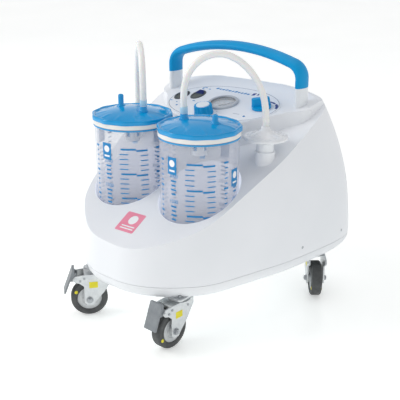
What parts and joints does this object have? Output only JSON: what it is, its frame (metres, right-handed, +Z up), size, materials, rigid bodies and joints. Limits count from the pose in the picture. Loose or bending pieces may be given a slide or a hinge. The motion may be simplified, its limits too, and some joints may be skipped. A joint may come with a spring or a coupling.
{
  "type": "medical suction pump",
  "caption": "Mobile suction pump with twin collection jars, blue lids, suction tubing, tilted control panel, push handle and braked swivel casters.",
  "frame": {"origin": "centre of the bounding box at floor level, under the wheels", "axes": "front with the jars faces -Y, +X to the right seen from the front, +Z up"},
  "size_m": [0.4244, 0.4517, 0.4628],
  "materials": {
    "housing_white": "satin moulded plastic",
    "panel_film": "smooth film",
    "grip_blue": "soft grip",
    "lid_blue": "glossy moulded plastic",
    "jar_clear": "clear polycarbonate",
    "gauge_glass": "clear",
    "ivory_rubber": "matte",
    "tube_silicone": "translucent",
    "filter_white": "clear white",
    "gauge_grey": "satin",
    "dial_white": "printed",
    "black_plastic": "moulded",
    "lamp_blue": "clear blue",
    "steel": "plated",
    "rear_grey": "moulded",
    "pump_alloy": "cast",
    "dark_rubber": "matte",
    "board_green": "populated board",
    "zinc": "zinc plated",
    "hub_grey": "moulded",
    "tyre_grey": "rubber",
    "pedal_grey": "satin"
  },
  "bodies": {
    "root": {"base_tray": "housing_white", "caster_mounts": "zinc", "control_board": "board_green", "control_valves": "black_plastic", "filter_seats": "housing_white", "fuse_holder": "black_plastic", "gauge_bezel": "gauge_grey", "gauge_case": "gauge_grey", "gauge_dial": "dial_white", "gauge_lens": "gauge_glass", "handle_core": "steel", "handle_grip": "grip_blue", "handle_posts": "housing_white", "housing_screws": "steel", "jar_seats": "ivory_rubber", "main_shell": "housing_white", "mains_inlet": "black_plastic", "panel_label": "panel_film", "pedal_socket": "steel", "pump_bed": "steel", "pump_feet": "dark_rubber", "pump_heads": "pump_alloy", "pump_motor": "pump_alloy", "rear_plate": "rear_grey", "status_lamp": "lamp_blue", "switch_bezels": "black_plastic", "air_filter_left": "filter_white", "air_filter_right": "filter_white"},
    "jar_left_body": {"jar_left": "jar_clear"},
    "lid_left_body": {"jar_lid_left": "lid_blue", "jar_gasket_left": "ivory_rubber", "float_cage_left": "filter_white", "suction_tube_left": "tube_silicone"},
    "float_left_body": {"float_left": "filter_white"},
    "jar_right_body": {"jar_right": "jar_clear"},
    "lid_right_body": {"jar_lid_right": "lid_blue", "jar_gasket_right": "ivory_rubber", "float_cage_right": "filter_white", "suction_tube_right": "tube_silicone"},
    "float_right_body": {"float_right": "filter_white"},
    "power_rocker_body": {"power_rocker": "black_plastic"},
    "boost_rocker_body": {"boost_rocker": "black_plastic"},
    "regulator_body": {"regulator_knob": "lid_blue", "regulator_cap": "housing_white"},
    "selector_body": {"selector_knob": "lid_blue"},
    "needle_body": {"gauge_needle": "black_plastic"},
    "fork_front_right": {"caster_fork_front_right": "zinc"},
    "wheel_front_right": {"caster_tyre_front_right": "tyre_grey", "caster_hub_front_right": "hub_grey"},
    "pedal_front_right": {"brake_pedal_front_right": "pedal_grey"},
    "fork_front_left": {"caster_fork_front_left": "zinc"},
    "wheel_front_left": {"caster_tyre_front_left": "tyre_grey", "caster_hub_front_left": "hub_grey"},
    "pedal_front_left": {"brake_pedal_front_left": "pedal_grey"},
    "fork_rear_right": {"caster_fork_rear_right": "zinc"},
    "wheel_rear_right": {"caster_tyre_rear_right": "tyre_grey", "caster_hub_rear_right": "hub_grey"},
    "fork_rear_left": {"caster_fork_rear_left": "zinc"},
    "wheel_rear_left": {"caster_tyre_rear_left": "tyre_grey", "caster_hub_rear_left": "hub_grey"}
  },
  "joints": [
    {"name": "jar_left_lift", "type": "slide", "parent": "root", "child": "jar_left_body", "axis": [0, 0, 1], "range_m": [0, 0.24]},
    {"name": "lid_left_lift", "type": "slide", "parent": "jar_left_body", "child": "lid_left_body", "axis": [0, 0, 1], "range_m": [0, 0.06]},
    {"name": "float_left_rise", "type": "slide", "parent": "lid_left_body", "child": "float_left_body", "axis": [0, 0, 1], "range_m": [0, 0.012]},
    {"name": "jar_right_lift", "type": "slide", "parent": "root", "child": "jar_right_body", "axis": [0, 0, 1], "range_m": [0, 0.24]},
    {"name": "lid_right_lift", "type": "slide", "parent": "jar_right_body", "child": "lid_right_body", "axis": [0, 0, 1], "range_m": [0, 0.06]},
    {"name": "float_right_rise", "type": "slide", "parent": "lid_right_body", "child": "float_right_body", "axis": [0, 0, 1], "range_m": [0, 0.012]},
    {"name": "power_rocker_tilt", "type": "hinge", "parent": "root", "child": "power_rocker_body", "pos_m": [-0.095, 0.08458, 0.34172], "axis": [1, 0, 0], "range_deg": [-16, 0]},
    {"name": "boost_rocker_tilt", "type": "hinge", "parent": "root", "child": "boost_rocker_body", "pos_m": [-0.066, 0.09629, 0.34432], "axis": [1, 0, 0], "range_deg": [-16, 0]},
    {"name": "regulator_turn", "type": "hinge", "parent": "root", "child": "regulator_body", "pos_m": [-0.005, 0.03121, 0.33296], "axis": [0, -0.2164, 0.9763], "range_deg": [-300, 0]},
    {"name": "selector_turn", "type": "hinge", "parent": "root", "child": "selector_body", "pos_m": [0.08, 0.08491, 0.34487], "axis": [0, -0.2164, 0.9763], "range_deg": [-90, 0]},
    {"name": "needle_turn", "type": "hinge", "parent": "root", "child": "needle_body", "pos_m": [0.002, 0.07905, 0.34357], "axis": [0, -0.2164, 0.9763], "range_deg": [-270, 0]},
    {"name": "swivel_front_right", "type": "hinge", "parent": "root", "child": "fork_front_right", "pos_m": [0.086, -0.16, 0.07], "axis": [0, 0, 1], "continuous": true},
    {"name": "spin_front_right", "type": "hinge", "parent": "fork_front_right", "child": "wheel_front_right", "pos_m": [0.0837, -0.18188, 0.032], "axis": [-0.9945, 0.1045, 0], "continuous": true},
    {"name": "brake_front_right", "type": "hinge", "parent": "fork_front_right", "child": "pedal_front_right", "pos_m": [0.0813, -0.20475, 0.072], "axis": [-0.9945, 0.1045, 0], "range_deg": [-9, 0]},
    {"name": "swivel_front_left", "type": "hinge", "parent": "root", "child": "fork_front_left", "pos_m": [-0.086, -0.16, 0.07], "axis": [0, 0, 1], "continuous": true},
    {"name": "spin_front_left", "type": "hinge", "parent": "fork_front_left", "child": "wheel_front_left", "pos_m": [-0.10086, -0.17622, 0.032], "axis": [-0.7373, 0.6756, 0], "continuous": true},
    {"name": "brake_front_left", "type": "hinge", "parent": "fork_front_left", "child": "pedal_front_left", "pos_m": [-0.1164, -0.19318, 0.072], "axis": [-0.7373, 0.6756, 0], "range_deg": [-9, 0]},
    {"name": "swivel_rear_right", "type": "hinge", "parent": "root", "child": "fork_rear_right", "pos_m": [0.166, 0.145, 0.07], "axis": [0, 0, 1], "continuous": true},
    {"name": "spin_rear_right", "type": "hinge", "parent": "fork_rear_right", "child": "wheel_rear_right", "pos_m": [0.17924, 0.12743, 0.032], "axis": [-0.7986, -0.6018, 0], "continuous": true},
    {"name": "swivel_rear_left", "type": "hinge", "parent": "root", "child": "fork_rear_left", "pos_m": [-0.166, 0.145, 0.07], "axis": [0, 0, 1], "continuous": true},
    {"name": "spin_rear_left", "type": "hinge", "parent": "fork_rear_left", "child": "wheel_rear_left", "pos_m": [-0.17352, 0.12433, 0.032], "axis": [-0.9397, 0.342, 0], "continuous": true}
  ]
}
